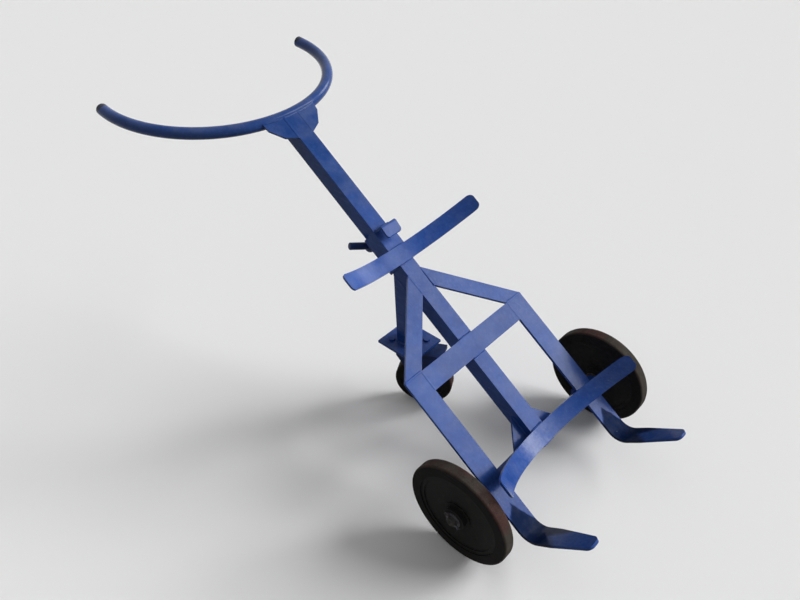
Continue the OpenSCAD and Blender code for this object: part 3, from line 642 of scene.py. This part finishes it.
# The trolley's welds, in the leaning frame's millimetres
FRONT, BACK = (0, 0, 1), (0, 0, -1)
LEG_IN, LEG_MID, LEG_OUT, LEG_TOP = 181, 211, 241, 329
BAR_FRONT, BAR_REAR, BRACE_THICK = 6, -2, 8
CROSS_LOW = 269
BRACE_TOP, BRACE_WIDE = 551, 45
SADDLE_HALF = 24
GUSSET_REACH, GUSSET_LOW, GUSSET_THICK = 92, 1029, 6
HANDLE_UP, HANDLE_BACK, HANDLE_BEND, PIPE = 1110, 15.5, 344, 16.85
HANDLE_TIP = math.radians(31)
FOOT_GUSSET = (88, 10, 88, -24.75)
AXLE, TUBE_WALL, LUG_HALF, LUG_WIDE = 12.5, 4, 5, 22
STRUT_ON_MAST = (518.6, 580.5)
SLEEVE_LOW, SLEEVE_TOP = 583, 703
SLEEVE_FRONT, SLEEVE_REAR, SLEEVE_HALF = 5, -55, 30
HOOK_HALF, HOOK_DOWN, HOOK_THICK = 27, 3, 6
SCREW_UP, NUT_HALF = 688, 15

# How flat beads are between faces that are flush, as on the fronts of the mast and legs
FLUSH, WIDE_FLUSH = 0.16, 0.2

# Where the gussets' faces meet the handle: below the pipe's middle line, and out from it
PIPE_FRONT, PIPE_BEHIND = (6.5, HANDLE_BACK - 0.4), (13.5, 9.6)

brace_rise = math.atan((BRACE_TOP - LEG_TOP) / (LEG_OUT - MAST_HALF))
BRACE_LOW = BRACE_TOP - BRACE_WIDE / math.cos(brace_rise)
BRACE_IN = LEG_OUT - BRACE_WIDE / math.sin(brace_rise)


def brace_front(up):
    """Front of the braces: from the leg's front at the leg's top to the mast's at the brace's."""
    return BAR_FRONT * (BRACE_TOP - up) / (BRACE_TOP - LEG_TOP)


def handle_line(x, drop, out):
    """Points below the handle pipe's middle line: its rise and depth at x, less drop, plus out."""
    x = np.asarray(x, float)
    rise = HANDLE_BEND - np.sqrt(HANDLE_BEND ** 2 - x ** 2)
    return np.stack([x, HANDLE_UP + rise * math.cos(HANDLE_TIP) - drop,
                     -HANDLE_BACK - rise * math.sin(HANDLE_TIP) + out], axis=1)


def frame_beads(sign):
    """Seams of one side of the frame, front and back."""
    low, high = brace_front(BRACE_LOW), brace_front(BRACE_TOP)
    leg, mast = sign * LEG_IN, sign * MAST_HALF
    return [
        up_bead(leg, CROSS_LOW + 1, LEG_TOP - 1, BAR_FRONT - 0.2, FRONT, 3.4,
                flat=FLUSH, rough=0.5),
        cross_bead(sign * BRACE_IN, sign * (LEG_OUT - 1), LEG_TOP, BAR_FRONT - 0.1, FRONT, 3.4,
                   flat=WIDE_FLUSH, rough=0.6),
        bead([(mast, BRACE_LOW, low - 0.4), (mast, BRACE_TOP - 1, high - 0.4)], FRONT, 4.2,
             flat=WIDE_FLUSH, rough=0.4),
        up_bead(leg, CROSS_LOW + 2, LEG_TOP - 2, 0, BACK, 2.6, flat=0.8),
        cross_bead(sign * (BRACE_IN + 2), sign * (LEG_OUT - 2), LEG_TOP, BAR_REAR, BACK, 3,
                   flat=0.6),
        bead([(mast, BRACE_LOW + 2, low - BRACE_THICK),
              (mast, BRACE_TOP - 2, high - BRACE_THICK)], BACK, 3.2),
        up_bead(mast, CROSS_LOW + 3, LEG_TOP - 3, -0.2, (sign, 0, 0), 2.4),
    ]


def foot_beads(sign):
    """Seams of one side of the axle: foot gusset, lug, spacer tube and mast."""
    wide, low, high, front = FOOT_GUSSET
    mast = sign * MAST_HALF
    seams = [
        up_bead(mast, low, high - 2, front, FRONT, 3),
        up_bead(mast, low, high - 2, front - GUSSET_THICK, BACK, 3),
        cross_bead(sign * (MAST_HALF + 2), sign * (wide - 2), low - 1, front + 0.5, FRONT, 2.6),
    ]
    for x, radius in ((MAST_HALF + 0.3, AXLE), (LEG_MID + LUG_HALF + 0.3, AXLE + TUBE_WALL),
                      (LEG_MID - LUG_HALF - 0.3, AXLE)):
        ring = arc((sign * x, 0, -AXLE_DEPTH), (0, 1, 0), (0, 0, 1), radius + 0.8,
                   -96, 270, RING_POINTS)
        seams.append(bead(ring, (sign, 0, 0), 2.2))
    for x in (LEG_MID - LUG_HALF, LEG_MID + LUG_HALF):
        seams.append(up_bead(sign * x, -LUG_WIDE + 2, LUG_WIDE - 2, BAR_REAR - 0.3, BACK, 2.6))
    return seams


def handle_beads(sign):
    """Seams of one side of the handle: gusset to mast, gusset to pipe, mast's corner to pipe."""
    mast = sign * MAST_HALF
    top = handle_line([MAST_HALF], 8, 0)[0, 1]
    behind = np.linspace(MAST_HALF + 3, GUSSET_REACH - 3, 20) * sign
    corner = handle_line([mast], 0, 0)[0]
    return [
        up_bead(mast, GUSSET_LOW + 1, top, -0.2, FRONT, 4, flat=FLUSH, rough=0.4),
        up_bead(mast, GUSSET_LOW + 2, top - 8, -GUSSET_THICK, BACK, 2.8),
        bead(handle_line(behind, *PIPE_BEHIND), BACK, 2.8),
        bead(arc(corner, (0, -1, 0), BACK, PIPE + 0.3, 50, 112, 16), (sign, 0, 0), 2.6),
    ]


handle_front = np.linspace(-GUSSET_REACH + 2, GUSSET_REACH - 2, 60)
frame_welds = both_sides(frame_beads) + both_sides(foot_beads) + both_sides(handle_beads) + [
    bead(handle_line(handle_front, *PIPE_FRONT), FRONT, 6.5, flat=WIDE_FLUSH, rough=0.4),
    cross_bead(-MAST_HALF + 1, MAST_HALF - 1, LEG_TOP + 0.5, 0.5, FRONT, 3.0),
    cross_bead(-MAST_HALF + 1, MAST_HALF - 1, CROSS_LOW - 0.5, 0.5, FRONT, 3.0),
    cross_bead(-MAST_HALF + 3, MAST_HALF - 3, SADDLE_HALF + 0.5, 1, FRONT, 3.4),
    cross_bead(-MAST_HALF + 3, MAST_HALF - 3, -SADDLE_HALF - 0.5, 1, FRONT, 3.0),
]
build_piece("frame_welds", frame_welds, "chassis", WELD_ENAMEL)


def strut_beads(sign):
    """Seams of one side of the strut: flush with the mast above, square on the plate below."""
    half = MAST_HALF + 1
    upward = (0, 0, 1)
    return [
        up_bead(sign * MAST_HALF, *STRUT_ON_MAST, -2 * MAST_HALF, (sign, 0, 0), 3, flat=0.4),
        bead([(sign * half, -half, 0.8), (sign * half, half, 0.8)], upward, 3.2, placed=at_strut),
        bead([(-half, sign * half, 0.8), (half, sign * half, 0.8)], upward, 3.2, placed=at_strut),
    ]


strut_welds = both_sides(strut_beads) + [
    cross_bead(-MAST_HALF + 2, MAST_HALF - 2, up, -2 * MAST_HALF - 0.6, BACK, 3.2)
    for up in (STRUT_ON_MAST[0] - 0.5, STRUT_ON_MAST[1] + 0.5)]
build_piece("strut_welds", strut_welds, "chassis", WELD_ENAMEL)

nut_corner = NUT_HALF / math.cos(math.radians(30))
nut_line = arc((0, SCREW_UP, SLEEVE_REAR - 0.4), (1, 0, 0), (0, 1, 0), nut_corner + 0.4, 0, 360, 7)
hook_top = SLEEVE_TOP - HOOK_DOWN
clamp_welds = [
    cross_bead(-SLEEVE_HALF + 4, SLEEVE_HALF - 4, SLEEVE_LOW + 2 * SADDLE_HALF + 0.3,
               SLEEVE_FRONT + 0.6, FRONT, 2.8),
    cross_bead(-HOOK_HALF + 2, HOOK_HALF - 2, hook_top - HOOK_THICK - 0.6,
               SLEEVE_FRONT + 0.4, FRONT, 2.6),
    cross_bead(-HOOK_HALF + 2, HOOK_HALF - 2, hook_top + 0.4, SLEEVE_FRONT + 0.4, FRONT, 2.4),
    bead(nut_line, BACK, 2.6),
]
build_piece("clamp_welds", clamp_welds, "clamp", CLAMP_WELD_ENAMEL)


# Studio

FLOOR_SIZE = 120.0
FLOOR_COLOUR, FLOOR_BOUNCE = (0.88, 0.88, 0.88, 1), (0.22, 0.22, 0.22, 1)
BACKDROP, DOME_LOW, DOME_HIGH = 0.74, 0.21, 0.3
SUN_TURN, SUN_RISE, SUN_WIDTH, SUN_ENERGY = 48, 31, 38, 2.72

# Round softboxes: turn, rise, inner and outer angle in degrees, and brightness
SOFTBOXES = ((86, 15, 8, 14, 5.0), (56, 22, 4, 8, 20.0))


def floor_material():
    """Pale floor: full colour to the camera and in reflections, darker in its own light."""
    material, tree, shader, _ = finish_of("studio floor")
    _, seen = seen_rays(tree)
    feed(tree, shader, {"Base Color": blend(tree, seen, FLOOR_BOUNCE, FLOOR_COLOUR),
                        "Roughness": 0.9, "Specular IOR Level": 0.0})
    return material


bpy.ops.mesh.primitive_plane_add(size=FLOOR_SIZE)
floor = bpy.context.object
floor.name = "studio_floor"
floor.data.materials.append(floor_material())


def toward(turn, rise):
    """Direction at a turn from -Y to +X and a rise above the floor, in degrees."""
    turn, rise = math.radians(turn), math.radians(rise)
    return np.array([math.cos(rise) * math.sin(turn), -math.cos(rise) * math.cos(turn),
                     math.sin(rise)])


def softbox(tree, ray, turn, rise, inner, outer, strength):
    """Brightness of a softbox in the sky: full within the inner angle, none past the outer."""
    near = vector(tree, "DOT_PRODUCT", ray, tuple(toward(turn, rise)), "Value")
    edge = [math.cos(math.radians(angle)) for angle in (outer, inner)]
    return ramp(tree, near, *edge, 0.0, strength)


def light_sky(tree):
    """Sky: a backdrop for rays that are seen, a dim dome for the rest, and two softboxes.

    The softboxes give light and reflections, and camera rays don't see them.
    """
    ray = node(tree, "ShaderNodeTexCoord").outputs["Generated"]
    height = node(tree, "ShaderNodeSeparateXYZ", {0: ray}).outputs["Z"]
    camera, seen = seen_rays(tree)
    dome = ramp(tree, height, -0.1, 0.8, DOME_LOW, DOME_HIGH)
    unseen = times(tree, minus(tree, 1.0, seen), dome)
    plain = plus(tree, times(tree, seen, BACKDROP), unseen)
    boxes = plus(tree, *[softbox(tree, ray, *box) for box in SOFTBOXES])
    boxes = times(tree, boxes, minus(tree, 1.0, camera))
    feed(tree, tree.nodes["Background"], {"Color": plus(tree, plain, boxes)})


world = bpy.data.worlds.new("studio")
bpy.context.scene.world = world
world.use_nodes = True
light_sky(world.node_tree)

sun_data = bpy.data.lights.new("key", "SUN")
sun_data.energy = SUN_ENERGY
sun_data.angle = math.radians(SUN_WIDTH)
sun = bpy.data.objects.new("key", sun_data)
sun.location = Vector(3 * toward(SUN_TURN, SUN_RISE))
sun.rotation_euler = (-sun.location).to_track_quat("-Z", "Y").to_euler()
bpy.context.scene.collection.objects.link(sun)

bpy.context.scene.view_settings.view_transform = "Standard"

# Camera at the photograph's angle, placed from the mast's foot
CAMERA_FROM_FOOT = (-1.16464, -0.6487755, 1.5202634)
CAMERA_TURN = (50.946, 2.205, -47.070)
LENS, SENSOR = 33.27, 36.0

camera_data = bpy.data.cameras.new("camera")
camera_data.lens = LENS
camera_data.sensor_width = SENSOR
camera = bpy.data.objects.new("camera", camera_data)
camera.location = tuple(FOOT + CAMERA_FROM_FOOT)
camera.rotation_euler = Euler([math.radians(angle) for angle in CAMERA_TURN], "XYZ")
bpy.context.scene.collection.objects.link(camera)
bpy.context.scene.camera = camera
